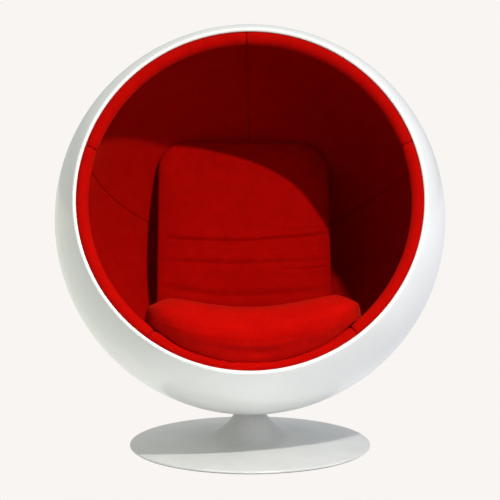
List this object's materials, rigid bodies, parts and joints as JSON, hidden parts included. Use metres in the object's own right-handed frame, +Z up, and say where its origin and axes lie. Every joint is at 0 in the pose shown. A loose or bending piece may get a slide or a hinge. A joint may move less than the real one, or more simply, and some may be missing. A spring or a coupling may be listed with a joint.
{
  "type": "globe lounge chair",
  "caption": "White glossy ball-shaped lounge chair on a round trumpet base, lined and cushioned in red wool, turning on its base.",
  "frame": {"origin": "on the floor, on the vertical axis that the ball turns about", "axes": "+Z up, the mouth of the ball faces -Y, +X to the right of someone who looks into the mouth"},
  "size_m": [1.0997, 0.9616, 1.1999],
  "materials": {
    "white_gelcoat": "gloss",
    "white_lacquer": "gloss",
    "red_wool": "matte",
    "zip_tape": "matte",
    "foam": "matte",
    "plywood": "matte",
    "laminate": "satin",
    "black_rubber": "matte",
    "zinc_steel": "satin",
    "dark_steel": "satin",
    "polished_steel": "polished",
    "cast_ballast": "matte",
    "ivory_nylon": "satin",
    "brass": "satin"
  },
  "bodies": {
    "base": {"floor_pad": "black_rubber", "bottom_plate": "zinc_steel", "plate_screws": "zinc_steel", "ballast_ring": "cast_ballast", "ballast_screws": "zinc_steel", "pedestal": "dark_steel", "pedestal_bolts": "zinc_steel", "base_cover": "white_lacquer", "lower_bush": "ivory_nylon", "upper_bush": "ivory_nylon", "lower_race": "zinc_steel", "bearing_cage": "brass", "bearing_balls": "polished_steel"},
    "ball": {"upper_race": "zinc_steel", "spindle": "dark_steel", "thrust_washer": "ivory_nylon", "retaining_ring": "dark_steel", "saddle_pad": "black_rubber", "shell": "white_gelcoat", "level_pad": "laminate", "top_plate": "zinc_steel", "shell_bolts": "zinc_steel", "shell_washers": "zinc_steel", "ring_batten": "plywood", "ring_foam": "foam", "ring_upper_right": "red_wool", "ring_side_right": "red_wool", "ring_bottom": "red_wool", "ring_side_left": "red_wool", "ring_upper_left": "red_wool", "foam_upper_right": "foam", "foam_side_right": "foam", "foam_bottom": "foam", "foam_side_left": "foam", "foam_upper_left": "foam", "lining_upper_right": "red_wool", "lining_side_right": "red_wool", "lining_bottom": "red_wool", "lining_side_left": "red_wool", "lining_upper_left": "red_wool", "seat_core": "foam", "seat_top_cover": "red_wool", "seat_under_cover": "red_wool", "seat_zip": "zip_tape", "back_core": "foam", "back_front_cover": "red_wool", "back_rear_cover": "red_wool", "back_zip": "zip_tape"}
  },
  "joints": [
    {"name": "swivel", "type": "hinge", "parent": "base", "child": "ball", "pos_m": [0, 0, 0], "axis": [0, 0, 1], "continuous": true}
  ]
}
